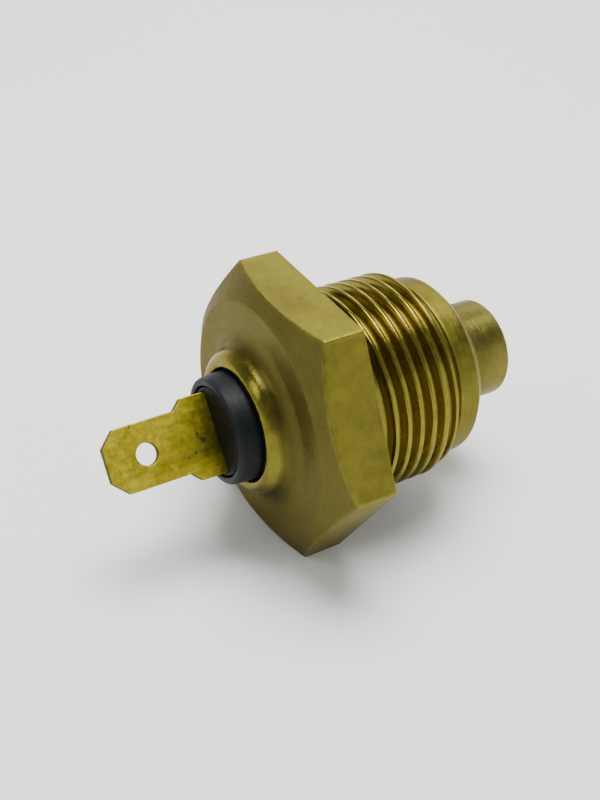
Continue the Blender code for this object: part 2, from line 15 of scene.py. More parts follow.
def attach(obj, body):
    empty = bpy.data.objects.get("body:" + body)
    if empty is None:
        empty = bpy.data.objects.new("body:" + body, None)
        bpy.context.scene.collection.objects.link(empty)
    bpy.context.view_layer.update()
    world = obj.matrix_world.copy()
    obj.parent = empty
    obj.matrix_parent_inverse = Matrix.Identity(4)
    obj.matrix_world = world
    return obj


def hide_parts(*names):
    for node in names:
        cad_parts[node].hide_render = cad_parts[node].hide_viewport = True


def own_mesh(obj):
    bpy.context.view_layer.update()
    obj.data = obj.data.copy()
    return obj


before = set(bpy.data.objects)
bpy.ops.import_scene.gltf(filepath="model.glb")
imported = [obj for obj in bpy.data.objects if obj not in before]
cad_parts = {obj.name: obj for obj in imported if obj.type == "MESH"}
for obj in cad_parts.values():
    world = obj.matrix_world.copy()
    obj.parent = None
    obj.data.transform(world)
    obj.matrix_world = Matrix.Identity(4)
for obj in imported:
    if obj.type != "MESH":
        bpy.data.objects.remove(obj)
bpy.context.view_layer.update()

MM = 0.001
AXIS_HEIGHT = 13.5
SEAT_X = -0.125

HEX_FLATS = 27.0
HEX_CORNER = HEX_FLATS / math.sqrt(3)
HEX_CORNER_ROUND = 0.3
HEX_EDGE_ROUND = 0.1
HEX_CORNER_HEIGHT = 4.2
CHAMFER_SLOPE = math.tan(math.radians(30))
SEAT_RELIEF_RADIUS = 13.02
FACE_RADIUS = 12.0
FACE_ROUND = 0.25
FACE_X = HEX_CORNER_HEIGHT + (HEX_CORNER - FACE_RADIUS) * CHAMFER_SLOPE
BOSS_BASE_RADIUS = 9.2
BOSS_RADIUS = 7.5
BOSS_TOP = FACE_X + 2.45
LIP_RADIUS = 5.85
SMOOTHING_PASSES = 14

THREAD_RADIUS = 10.93
THREAD_ROOT = 10.06
THREAD_PITCH = 1.5
THREAD_FIRST = -1.35
THREAD_LAST = -11.15
THREAD_BEDDING = 0.06

NOSE_X = -15.65
COLLAR_RADIUS = 9.6
COLLAR_FIRST = -12.0
COLLAR_LAST = -14.2
NECK_RADIUS = 9.38
NECK_END = -11.0
CHAMBER_RADIUS = 6.6
CHAMBER_FLOOR = -8.0
BORE_RADIUS = 5.6
BUSH_SEAT = -12.4

PLUNGER_RADIUS = 5.3
PLUNGER_END = -21.95
BUSH_RADIUS = 6.27
BUSH_HOLE_RADIUS = 5.4
INSULATOR_RADIUS = 5.6
BLADE_TURN = math.radians(40.4)

TURN_STEPS = 144
CORNER_STEPS = 4
COIL_STEPS = 40
WIRE_STEPS = 14

CAMERA_PLACE = (50.4, 73.5, 82.7)
CAMERA_RIGHT = (-0.854, 0.517, 0.061)
CAMERA_DOWN = (0.277, 0.550, -0.788)
CAMERA_LENS = 50.0


# ---------------------------------------------------------------- meshes

def new_object(name, mesh):
    piece = bpy.data.objects.new(name, mesh)
    bpy.context.scene.collection.objects.link(piece)
    return piece


def mesh_from(name, points, faces):
    mesh = bpy.data.meshes.new(name)
    places = np.asarray(points, float) * MM
    mesh.from_pydata(places.tolist(), [], faces)
    mesh.update()
    return new_object(name, mesh)


def around(x, radius, angle):
    """Points round the switch's axis, in the scene's millimetres."""
    x, radius, angle = np.broadcast_arrays(x, radius, angle)
    across = radius * np.cos(angle)
    up = radius * np.sin(angle) + AXIS_HEIGHT
    return np.stack([x + SEAT_X, across, up], axis=-1)


def revolve(name, rows, angles, closed):
    """Rows are (x, radius) pairs, each a number or one value for each angle."""
    count = len(angles)
    points = np.concatenate([around(x, radius, angles) for x, radius in rows])
    faces = []
    last = len(rows) if closed else len(rows) - 1
    for row in range(last):
        here = row * count
        there = (row + 1) % len(rows) * count
        for step in range(count):
            after = (step + 1) % count
            faces.append((here + step, here + after, there + after, there + step))
    if not closed:
        faces.append(tuple(range(count)))
        faces.append(tuple(range(last * count, (last + 1) * count)))
    return mesh_from(name, points, faces)


def even_angles(count):
    """Evenly spaced angles round a full turn."""
    return np.arange(count) * (2 * math.pi / count)


def soften(profile, size, closed=True):
    """Rounds the corners of an (x, radius) outline, with a smaller round where sides are short."""
    points = [np.array(point, float) for point in profile]
    rounded = []
    count = len(points)
    for index, corner in enumerate(points):
        if not closed and index in (0, count - 1):
            rounded.append(tuple(corner))
            continue
        before = points[index - 1] - corner
        after = points[(index + 1) % count] - corner
        reach = min(size, 0.42 * np.linalg.norm(before), 0.42 * np.linalg.norm(after))
        before = before / np.linalg.norm(before)
        after = after / np.linalg.norm(after)
        if np.dot(before, after) < -0.97:
            rounded.append(tuple(corner))
            continue
        for step in range(CORNER_STEPS + 1):
            share = step / CORNER_STEPS
            start = corner + before * reach * (1 - share) ** 2
            rounded.append(tuple(start + after * reach * share ** 2))
    return rounded


def closed_up(piece, crease):
    """Faces outward, smooth shading broken at creases, and normals weighted by face area."""
    edit = bmesh.new()
    edit.from_mesh(piece.data)
    bmesh.ops.recalc_face_normals(edit, faces=edit.faces)
    edit.to_mesh(piece.data)
    edit.free()
    piece.data.shade_smooth()
    piece.data.set_sharp_from_angle(angle=math.radians(crease))
    weigh = piece.modifiers.new("even_shading", "WEIGHTED_NORMAL")
    weigh.keep_sharp = True
    return baked(piece)


def baked(piece):
    """The piece with its modifiers worked into a plain mesh."""
    bpy.context.view_layer.update()
    graph = bpy.context.evaluated_depsgraph_get()
    mesh = bpy.data.meshes.new_from_object(piece.evaluated_get(graph))
    mesh.name = piece.name
    old = piece.data
    piece.modifiers.clear()
    piece.data = mesh
    if old.users == 0 and isinstance(old, bpy.types.Mesh):
        bpy.data.meshes.remove(old)
    return piece


def joined(first, second):
    """Both meshes in the first object."""
    edit = bmesh.new()
    edit.from_mesh(first.data)
    edit.from_mesh(second.data)
    edit.to_mesh(first.data)
    edit.free()
    mesh = second.data
    bpy.data.objects.remove(second, do_unlink=True)
    bpy.data.meshes.remove(mesh)
    return first


def cut_box(piece, low_x, high_x, width, thickness):
    """Cuts a slot along the axis, turned with the blade."""
    edit = bmesh.new()
    bmesh.ops.create_cube(edit, size=1.0)
    bmesh.ops.scale(edit, vec=Vector((high_x - low_x, thickness, width)), verts=edit.verts)
    bmesh.ops.rotate(edit, matrix=Matrix.Rotation(BLADE_TURN, 3, "X"), verts=edit.verts)
    middle = Vector(((low_x + high_x) / 2 + SEAT_X, 0, AXIS_HEIGHT))
    bmesh.ops.translate(edit, vec=middle, verts=edit.verts)
    bmesh.ops.scale(edit, vec=Vector((MM, MM, MM)), verts=edit.verts)
    mesh = bpy.data.meshes.new("slot")
    edit.to_mesh(mesh)
    edit.free()
    cutter = new_object("slot", mesh)
    cut = piece.modifiers.new("slot", "BOOLEAN")
    cut.operation = "DIFFERENCE"
    cut.solver = "EXACT"
    cut.object = cutter
    baked(piece)
    bpy.data.objects.remove(cutter, do_unlink=True)
    bpy.data.meshes.remove(mesh)


def ramp(value, low, high):
    """Eases from 0 at low to 1 at high."""
    share = np.clip((value - low) / (high - low), 0, 1)
    return share * share * (3 - 2 * share)


def mark(piece, name, values):
    """Stores one number for each vertex, for the materials to read."""
    layer = piece.data.attributes.new(name, "FLOAT", "POINT")
    layer.data.foreach_set("value", np.asarray(values, np.float32))


def switch_places(piece):
    """Each vertex's x, distance from the axis and angle, in the switch's millimetres."""
    flat = np.empty(len(piece.data.vertices) * 3)
    piece.data.vertices.foreach_get("co", flat)
    places = flat.reshape(-1, 3) / MM
    x = places[:, 0] - SEAT_X
    across = places[:, 1]
    up = places[:, 2] - AXIS_HEIGHT
    return x, np.hypot(across, up), np.arctan2(up, across)


def mark_turning(piece, turned=None):
    """Stores distance along the axis and from it, for turning lines, and where they show."""
    x, radius, _ = switch_places(piece)
    lathe = piece.data.attributes.new("lathe", "FLOAT_VECTOR", "POINT")
    values = np.stack([x, radius, np.zeros_like(x)], axis=-1)
    lathe.data.foreach_set("vector", values.astype(np.float32).ravel())
    mark(piece, "turned", np.ones_like(x) if turned is None else turned)


# ---------------------------------------------------------------- geometry trees

class Tree:
    """A small helper that adds and links the nodes of one tree."""

    def __init__(self, tree):
        self.tree = tree

    def add(self, kind, **settings):
        node = self.tree.nodes.new(kind)
        for key, value in settings.items():
            setattr(node, key, value)
        return node

    def link(self, source, target):
        self.tree.links.new(source, target)

    def maths(self, operation, first, second=0.0, clamp=False):
        node = self.add("ShaderNodeMath", operation=operation, use_clamp=clamp)
        for socket, value in zip(node.inputs, (first, second)):
            self.put(socket, value)
        return node.outputs[0]

    def put(self, socket, value):
        if isinstance(value, bpy.types.NodeSocket):
            self.link(value, socket)
        else:
            socket.default_value = value


def geometry_group(name, inputs):
    group = bpy.data.node_groups.new(name, "GeometryNodeTree")
    for title, kind in inputs:
        group.interface.new_socket(title, in_out="INPUT", socket_type=kind)
    group.interface.new_socket("Geometry", in_out="OUTPUT", socket_type="NodeSocketGeometry")
    return group


def coil_tree():
    """A wire swept along a helix round the switch's axis."""
    group = geometry_group("coil", [
        ("Start", "NodeSocketFloat"),
        ("Length", "NodeSocketFloat"),
        ("Radius", "NodeSocketFloat"),
        ("Turns", "NodeSocketFloat"),
        ("Wire radius", "NodeSocketFloat"),
        ("Axis height", "NodeSocketFloat"),
        ("Material", "NodeSocketMaterial"),
    ])
    t = Tree(group)
    given = t.add("NodeGroupInput")
    path = t.add("GeometryNodeCurveSpiral")
    t.put(path.inputs["Resolution"], COIL_STEPS)
    t.put(path.inputs["Reverse"], True)
    t.link(given.outputs["Turns"], path.inputs["Rotations"])
    t.link(given.outputs["Radius"], path.inputs["Start Radius"])
    t.link(given.outputs["Radius"], path.inputs["End Radius"])
    t.link(given.outputs["Length"], path.inputs["Height"])
    upright = t.add("GeometryNodeSetCurveNormal")
    upright.mode = "Z_UP"
    t.link(path.outputs[0], upright.inputs[0])
    section = t.add("GeometryNodeCurvePrimitiveCircle")
    t.put(section.inputs["Resolution"], WIRE_STEPS)
    t.link(given.outputs["Wire radius"], section.inputs["Radius"])
    sweep = t.add("GeometryNodeCurveToMesh")
    t.link(upright.outputs[0], sweep.inputs["Curve"])
    t.link(section.outputs[0], sweep.inputs["Profile Curve"])
    t.put(sweep.inputs["Fill Caps"], True)
    place = t.add("ShaderNodeCombineXYZ")
    t.link(given.outputs["Start"], place.inputs["X"])
    t.link(given.outputs["Axis height"], place.inputs["Z"])
    lay = t.add("GeometryNodeTransform")
    t.link(sweep.outputs[0], lay.inputs["Geometry"])
    t.link(place.outputs[0], lay.inputs["Translation"])
    t.put(lay.inputs["Rotation"], (0, math.pi / 2, 0))
    finish_tree(t, given, lay.outputs[0])
    return group


def finish_tree(t, given, geometry):
    """Makes the result real, gives it its material and puts it out."""
    real = t.add("GeometryNodeRealizeInstances")
    t.link(geometry, real.inputs[0])
    paint = t.add("GeometryNodeSetMaterial")
    t.link(real.outputs[0], paint.inputs["Geometry"])
    t.link(given.outputs["Material"], paint.inputs["Material"])
    result = t.add("NodeGroupOutput")
    t.link(paint.outputs[0], result.inputs[0])


def thread_tree():
    """A 60 degree thread ridge swept along a helix; it sinks into the root at both ends."""
    group = geometry_group("thread", [
        ("Start", "NodeSocketFloat"),
        ("Length", "NodeSocketFloat"),
        ("Root radius", "NodeSocketFloat"),
        ("Depth", "NodeSocketFloat"),
        ("Pitch", "NodeSocketFloat"),
        ("Crest width", "NodeSocketFloat"),
        ("Run-out turns", "NodeSocketFloat"),
        ("Axis height", "NodeSocketFloat"),
        ("Material", "NodeSocketMaterial"),
    ])
    t = Tree(group)
    given = t.add("NodeGroupInput")
    turns = t.maths("DIVIDE", given.outputs["Length"], given.outputs["Pitch"])
    path = t.add("GeometryNodeCurveSpiral")
    t.put(path.inputs["Resolution"], TURN_STEPS)
    t.put(path.inputs["Reverse"], True)
    t.link(turns, path.inputs["Rotations"])
    t.link(given.outputs["Root radius"], path.inputs["Start Radius"])
    t.link(given.outputs["Root radius"], path.inputs["End Radius"])
    t.link(given.outputs["Length"], path.inputs["Height"])
    upright = t.add("GeometryNodeSetCurveNormal")
    upright.mode = "Z_UP"
    t.link(path.outputs[0], upright.inputs[0])

    # the ridge's section: a closed outline whose points are set from its own count
    points = 16
    outline = t.add("GeometryNodeCurvePrimitiveCircle")
    t.put(outline.inputs["Resolution"], points)
    number = t.add("GeometryNodeInputIndex").outputs[0]
    share = t.maths("DIVIDE", number, points - 1.0)
    along = t.maths("SUBTRACT", t.maths("MULTIPLY", share, 2.0), 1.0)
    half_base = t.maths("MULTIPLY", given.outputs["Pitch"], 0.5)
    sideways = t.maths("MULTIPLY", along, half_base)
    crest = t.maths("MULTIPLY", given.outputs["Crest width"], 0.5)
    beyond = t.maths("SUBTRACT", t.maths("ABSOLUTE", sideways), crest)
    fall_width = t.maths("SUBTRACT", half_base, crest)
    fall = t.maths("DIVIDE", beyond, fall_width, clamp=True)
    # the flanks reach the root before the base ends, which leaves a flat between the ridges
    root_flat = t.maths("MULTIPLY", fall, 1.22, clamp=True)
    eased = t.add("ShaderNodeMapRange", interpolation_type="SMOOTHSTEP")
    t.link(root_flat, eased.inputs["Value"])
    t.put(eased.inputs["To Min"], 1.0)
    t.put(eased.inputs["To Max"], 0.0)
    straight = t.maths("SUBTRACT", 1.0, root_flat)
    mostly_straight = t.maths("MULTIPLY", straight, 0.7)
    partly_eased = t.maths("MULTIPLY", eased.outputs[0], 0.3)
    blend = t.maths("ADD", mostly_straight, partly_eased)
    height = t.maths("MULTIPLY", blend, given.outputs["Depth"])
    bedding = t.maths("MULTIPLY", given.outputs["Depth"], THREAD_BEDDING)
    sunk = t.maths("SUBTRACT", height, bedding)
    section_place = t.add("ShaderNodeCombineXYZ")
    t.link(sunk, section_place.inputs["X"])
    t.link(sideways, section_place.inputs["Y"])
    section = t.add("GeometryNodeSetPosition")
    t.link(outline.outputs[0], section.inputs["Geometry"])
    t.link(section_place.outputs[0], section.inputs["Position"])

    # the taper: the section shrinks over the run-out at each end
    place_on_path = t.add("GeometryNodeSplineParameter").outputs["Factor"]
    from_start = t.maths("MULTIPLY", place_on_path, turns)
    from_end = t.maths("SUBTRACT", turns, from_start)
    nearer = t.maths("MINIMUM", from_start, from_end)
    taper = t.maths("DIVIDE", nearer, given.outputs["Run-out turns"], clamp=True)
    size = t.maths("MAXIMUM", t.maths("POWER", taper, 0.6), 0.03)
    sweep = t.add("GeometryNodeCurveToMesh")
    t.link(upright.outputs[0], sweep.inputs["Curve"])
    t.link(section.outputs[0], sweep.inputs["Profile Curve"])
    t.link(size, sweep.inputs["Scale"])
    t.put(sweep.inputs["Fill Caps"], True)
    place = t.add("ShaderNodeCombineXYZ")
    t.link(given.outputs["Start"], place.inputs["X"])
    t.link(given.outputs["Axis height"], place.inputs["Z"])
    lay = t.add("GeometryNodeTransform")
    t.link(sweep.outputs[0], lay.inputs["Geometry"])
    t.link(place.outputs[0], lay.inputs["Translation"])
    t.put(lay.inputs["Rotation"], (0, math.pi / 2, 0))
    finish_tree(t, given, lay.outputs[0])
    return group


def grown(name, group, values):
    """A mesh made by a geometry tree from its named inputs."""
    piece = new_object(name, bpy.data.meshes.new(name))
    modifier = piece.modifiers.new("shape", "NODES")
    modifier.node_group = group
    for item in group.interface.items_tree:
        if item.in_out == "INPUT" and item.name in values:
            modifier[item.identifier] = values[item.name]
    piece.update_tag()
    return baked(piece)


# ---------------------------------------------------------------- materials

def shader_tree(name):
    material = bpy.data.materials.new(name)
    material.use_nodes = True
    t = Tree(material.node_tree)
    return material, t, material.node_tree.nodes["Principled BSDF"]


def noise(t, where, scale, detail=4.0, rough=0.55, distortion=0.0):
    node = t.add("ShaderNodeTexNoise")
    t.link(where, node.inputs["Vector"])
    t.put(node.inputs["Scale"], scale)
    t.put(node.inputs["Detail"], detail)
    t.put(node.inputs["Roughness"], rough)
    t.put(node.inputs["Distortion"], distortion)
    return node.outputs["Fac"]


def spread(t, value, low, high, to_low=0.0, to_high=1.0):
    """Stretches the range low to high over the range to_low to to_high."""
    node = t.add("ShaderNodeMapRange")
    t.link(value, node.inputs["Value"])
    t.put(node.inputs["From Min"], low)
    t.put(node.inputs["From Max"], high)
    t.put(node.inputs["To Min"], to_low)
    t.put(node.inputs["To Max"], to_high)
    return node.outputs[0]


def mixed(t, share, first, second):
    """Two colours mixed; this node's colour inputs are its seventh and eighth."""
    node = t.add("ShaderNodeMix", data_type="RGBA", blend_type="MIX")
    t.put(node.inputs["Factor"], share)
    for socket, value in ((node.inputs[6], first), (node.inputs[7], second)):
        t.put(socket, value if isinstance(value, bpy.types.NodeSocket) else (*value, 1.0))
    return node.outputs[2]


def stored(t, name, output="Fac"):
    return t.add("ShaderNodeAttribute", attribute_name=name).outputs[output]


def object_place(t):
    return t.add("ShaderNodeTexCoord").outputs["Object"]


def bumped(t, shader, layers):
    """Each layer is a height, its depth in metres and its strength; they lie on each other."""
    normal = None
    for height, depth, strength in layers:
        bump = t.add("ShaderNodeBump")
        t.put(bump.inputs["Strength"], strength)
        t.put(bump.inputs["Distance"], depth)
        t.link(height, bump.inputs["Height"])
        if normal is not None:
            t.link(normal, bump.inputs["Normal"])
        normal = bump.outputs["Normal"]
    t.link(normal, shader.inputs["Normal"])


def ring_lines(t, fine, coarse):
    """Lines left by turning: they follow the distance along the axis and from it."""
    where = stored(t, "lathe", "Vector")
    first = noise(t, where, fine, 3.0, 0.6)
    second = noise(t, where, coarse, 2.0, 0.5)
    return first, second


def brass_material(name, light, dark, deep, rough, grain=1.0, lines=1.0):
    """Machined brass: patchy tones, painted shade with some dirt in the recesses, and edges
    painted brighter, a painted highlight that also stands for wear.

    Stored values say where it is dulled by tarnish that also paints shade, where forming or
    cutting left it smooth (polish) and which faces are the thread's (flank).
    """
    material, t, shader = shader_tree(name)
    dull = (light[0] * 0.42, light[1] * 0.41, light[2] * 0.95)
    place = object_place(t)
    patches = noise(t, place, 170.0, 5.0, 0.6, 0.4)
    mottle = noise(t, place, 900.0, 6.0, 0.65)
    sand = noise(t, place, 4200.0, 3.0, 0.6)
    fine_lines, coarse_lines = ring_lines(t, 14.0, 3.2)
    turned = stored(t, "turned")
    shade_and_dirt = stored(t, "shade_and_dirt")
    edge = stored(t, "edge")
    tarnish_and_shade = stored(t, "tarnish_and_shade")
    polish = stored(t, "polish")
    flank = stored(t, "flank")

    tone = t.maths("ADD", t.maths("MULTIPLY", patches, 0.55), t.maths("MULTIPLY", mottle, 0.45))
    colour = mixed(t, spread(t, tone, 0.36, 0.64), dark, light)
    # the dull colour on the terminal side, boss and seat is partly real tarnish and partly painted
    # shade
    tarnish_and_shade_share = t.maths("MULTIPLY", tarnish_and_shade, spread(t, sand, 0.25, 0.75, 0.55, 1.0))
    colour = mixed(t, tarnish_and_shade_share, colour, dull)
    cut_tone = (light[0] * 1.42, light[1] * 1.27, light[2] * 1.80)
    colour = mixed(t, t.maths("MULTIPLY", flank, 0.75), colour, cut_tone)
    line_tone = spread(t, fine_lines, 0.35, 0.65, 0.0, 0.30 * lines)
    line_share = t.maths("MULTIPLY", line_tone, turned)
    colour = mixed(t, line_share, colour, deep)
    rough_cut = t.maths("SUBTRACT", 1.0, t.maths("MULTIPLY", polish, 1.1), clamp=True)
    pits = spread(t, noise(t, place, 2300.0, 2.0, 0.5), 0.66, 0.74, 0.0, 0.25)
    pits = t.maths("MULTIPLY", pits, rough_cut)
    colour = mixed(t, pits, colour, deep)
    # the stored mask darkens the brass in hollows and by the lip: painted shade, partly standing
    # for dirt
    shade_and_dirt_noise = spread(t, mottle, 0.3, 0.75, 0.75, 1.0)
    shade_and_dirt_share = t.maths("MULTIPLY", shade_and_dirt, shade_and_dirt_noise)
    colour = mixed(t, shade_and_dirt_share, colour, deep)
    # edges and thread crests are painted brighter: painted highlights that also stand for wear
    glint = t.maths("MULTIPLY", edge, spread(t, mottle, 0.3, 0.7, 0.1, 0.8))
    bright = tuple(min(1.0, channel * 1.3) for channel in light)
    colour = mixed(t, glint, colour, bright)
    t.link(colour, shader.inputs["Base Color"])
    shader.inputs["Metallic"].default_value = 1.0
    shader.inputs["Specular Tint"].default_value = (0.84, 0.79, 0.68, 1.0)

    uneven = spread(t, mottle, 0.3, 0.7, rough - 0.06, rough + 0.08)
    smoothed = t.maths("SUBTRACT", uneven, t.maths("MULTIPLY", polish, 0.21))
    worn = t.maths("SUBTRACT", smoothed, t.maths("MULTIPLY", edge, 0.08))
    grime = t.maths("ADD", t.maths("MULTIPLY", shade_and_dirt, 0.12), t.maths("MULTIPLY", tarnish_and_shade, 0.10))
    grubby = t.maths("ADD", worn, grime, clamp=True)
    t.link(grubby, shader.inputs["Roughness"])

    plain = t.maths("SUBTRACT", 1.0, turned)
    sandy = t.maths("MULTIPLY", sand, t.maths("ADD", t.maths("MULTIPLY", plain, 0.75), 0.25))
    sandy = t.maths("MULTIPLY", sandy, t.maths("ADD", t.maths("MULTIPLY", rough_cut, 0.7), 0.3))
    as_turned = t.maths("MULTIPLY", turned, rough_cut)
    uneven_skin = t.maths("MULTIPLY", mottle, rough_cut)
    lined = t.maths("MULTIPLY", fine_lines, as_turned)
    waves = t.maths("MULTIPLY", coarse_lines, as_turned)
    bumped(t, shader, [
        (sandy, 0.00007 * grain, 0.55),
        (lined, 0.00004 * lines, 0.6),
        (waves, 0.00008 * lines, 0.35),
        (uneven_skin, 0.00008 * grain, 0.35),
        (t.maths("MULTIPLY", pits, -1.0), 0.00005, 0.6),
    ])
    return material


def plain_material(name, light, dark, rough, metallic, scale=700.0, depth=0.00003, gleam=0.5):
    """Any other material: two tones in patches, uneven gloss and a fine surface grain."""
    material, t, shader = shader_tree(name)
    place = object_place(t)
    patches = noise(t, place, scale * 0.3, 4.0, 0.6)
    grain = noise(t, place, scale * 5.0, 4.0, 0.6)
    tone = t.maths("ADD", t.maths("MULTIPLY", patches, 0.6), t.maths("MULTIPLY", grain, 0.4))
    t.link(mixed(t, spread(t, tone, 0.35, 0.65), dark, light), shader.inputs["Base Color"])
    t.link(spread(t, patches, 0.3, 0.7, rough - 0.07, rough + 0.09), shader.inputs["Roughness"])
    shader.inputs["Metallic"].default_value = metallic
    shader.inputs["Specular IOR Level"].default_value = gleam
    bumped(t, shader, [(grain, depth, 0.5), (patches, depth * 2, 0.4)])
    return material


def moulded_material(name):
    """Black moulded plastic: faint rings, dust in the fine grain and paler edges, a painted
    highlight that also stands for rubbing.
    """
    material, t, shader = shader_tree(name)
    place = object_place(t)
    fine_lines, coarse_lines = ring_lines(t, 9.0, 2.5)
    patches = noise(t, place, 260.0, 5.0, 0.6)
    dust = noise(t, place, 2600.0, 5.0, 0.65)
    edge = stored(t, "edge")
    black = (0.0030, 0.0042, 0.0050)
    charcoal = (0.0060, 0.0082, 0.0098)
    colour = mixed(t, spread(t, patches, 0.35, 0.65), black, charcoal)
    # the edges are painted paler and bluer: a painted highlight, partly standing for rubbing
    rubbed_and_sheen = t.maths("MULTIPLY", edge, spread(t, dust, 0.3, 0.7, 0.2, 0.8))
    colour = mixed(t, rubbed_and_sheen, colour, (0.009, 0.011, 0.013))
    colour = mixed(t, spread(t, dust, 0.62, 0.74, 0.0, 0.22), colour, (0.04, 0.04, 0.036))
    t.link(colour, shader.inputs["Base Color"])
    t.link(spread(t, dust, 0.3, 0.7, 0.42, 0.58), shader.inputs["Roughness"])
    shader.inputs["Specular IOR Level"].default_value = 0.15
    bumped(t, shader, [
        (fine_lines, 0.00003, 0.5),
        (dust, 0.00003, 0.5),
        (coarse_lines, 0.00005, 0.3),
    ])
    return material


def blade_material(name):
    """Rolled brass strip: lines along the blade, small dark specks, and painted shade towards its
    root.
    """
    material, t, shader = shader_tree(name)
    place = object_place(t)
    stretch = t.add("ShaderNodeMapping")
    t.link(place, stretch.inputs["Vector"])
    t.put(stretch.inputs["Scale"], (0.06, 1.0, 1.0))
    rolled = noise(t, stretch.outputs[0], 3600.0, 3.0, 0.6)
    patches = noise(t, place, 330.0, 5.0, 0.62, 0.5)
    fine = noise(t, place, 2100.0, 5.0, 0.6)
    tone = t.maths("ADD", t.maths("MULTIPLY", patches, 0.6), t.maths("MULTIPLY", fine, 0.4))
    colour = mixed(t, spread(t, tone, 0.38, 0.62), (0.41, 0.335, 0.018), (0.69, 0.58, 0.040))
    colour = mixed(t, spread(t, rolled, 0.4, 0.7, 0.0, 0.35), colour, (0.28, 0.20, 0.03))
    specks = spread(t, noise(t, place, 1150.0, 2.0, 0.5), 0.67, 0.73, 0.0, 0.8)
    colour = mixed(t, specks, colour, (0.10, 0.075, 0.03))
    # painted shade near the root, where the blade enters the insulator
    shade_and_dirt = stored(t, "shade_and_dirt")
    colour = mixed(t, t.maths("MULTIPLY", shade_and_dirt, 0.85), colour, (0.045, 0.038, 0.018))
    sheared = stored(t, "sheared")
    colour = mixed(t, t.maths("MULTIPLY", sheared, 0.92), colour, (0.050, 0.040, 0.012))
    t.link(colour, shader.inputs["Base Color"])
    shader.inputs["Metallic"].default_value = 1.0
    shader.inputs["Specular Tint"].default_value = (0.88, 0.84, 0.72, 1.0)
    gloss = spread(t, fine, 0.3, 0.7, 0.34, 0.50)
    torn = t.maths("ADD", gloss, t.maths("MULTIPLY", sheared, 0.25), clamp=True)
    t.link(torn, shader.inputs["Roughness"])
    bumped(t, shader, [
        (rolled, 0.00003, 0.4),
        (fine, 0.00005, 0.4),
        (t.maths("MULTIPLY", specks, -1.0), 0.00004, 0.5),
        (patches, 0.00015, 0.3),
    ])
    return material


# ---------------------------------------------------------------- hexagon, thread and boss

def hex_angles():
    """Angles round the hexagon, close together at its rounded corners."""
    near = [0.0, 0.16, 0.33, 0.5, 0.66, 0.9, 1.4, 2.2, 3.4]
    half = near + list(np.linspace(5.0, 30.0, 17))
    sector = half + [60.0 - angle for angle in half[-2:0:-1]]
    degrees = [60.0 * corner + angle for corner in range(6) for angle in sector]
    return np.radians(degrees)


def hex_radius(angles, rounding):
    """Distance to a hexagon with rounded corners; one corner lies at angle 0."""
    from_corner = np.abs((angles + math.pi / 6) % (math.pi / 3) - math.pi / 6)
    flat = HEX_FLATS / 2 / np.cos(math.pi / 6 - from_corner)
    centre = (HEX_FLATS / 2 - rounding) / math.cos(math.pi / 6)
    touch_up = (HEX_FLATS / 2 - rounding) * math.tan(math.pi / 6)
    touch = math.pi / 6 - math.atan2(touch_up, HEX_FLATS / 2)
    inside = np.maximum(rounding ** 2 - (centre * np.sin(from_corner)) ** 2, 0.0)
    corner = centre * np.cos(from_corner) + np.sqrt(inside)
    return np.where(from_corner < touch, corner, flat)


def boss_rows(angles):
    """The formed boss: a fillet out of the hex face, a shoulder and a lip over the insulator."""
    fillet_depth = 1.1
    rows = []
    for share in np.linspace(0, 1, 10):
        turn = share * math.pi / 2
        x = FACE_X + fillet_depth * (1 - math.cos(turn))
        radius = BOSS_BASE_RADIUS - (BOSS_BASE_RADIUS - BOSS_RADIUS) * math.sin(turn)
        rows.append((x, radius))
    crown_depth = BOSS_TOP - FACE_X - fillet_depth
    crown_width = BOSS_RADIUS - LIP_RADIUS - 0.3
    for share in np.linspace(0.1, 1, 12):
        turn = share * math.pi / 2
        x = FACE_X + fillet_depth + crown_depth * math.sin(turn)
        rows.append((x, BOSS_RADIUS - crown_width * (1 - math.cos(turn))))
    # averaging neighbours softens the slope; both ends stay where they are
    outline = np.array(rows)
    for _ in range(SMOOTHING_PASSES):
        outline[1:-4] = (outline[:-5] + 2 * outline[1:-4] + outline[2:-3]) / 4
    rows = [tuple(point) for point in outline]
    rows.append((BOSS_TOP - 0.03, LIP_RADIUS + 0.14))
    rows.append((BOSS_TOP - 0.12, LIP_RADIUS + 0.03))
    shaped = []
    for x, radius in rows:
        over_face = ramp(x, FACE_X + 0.2, FACE_X + 1.3)
        off_lip = ramp(radius, LIP_RADIUS + 0.3, LIP_RADIUS + 1.2)
        share = over_face * off_lip
        wave = 0.035 * np.sin(3 * angles + 0.6) + 0.022 * np.sin(7 * angles + 1.9)
        shaped.append((np.full_like(angles, x), radius + share * wave))
    return shaped


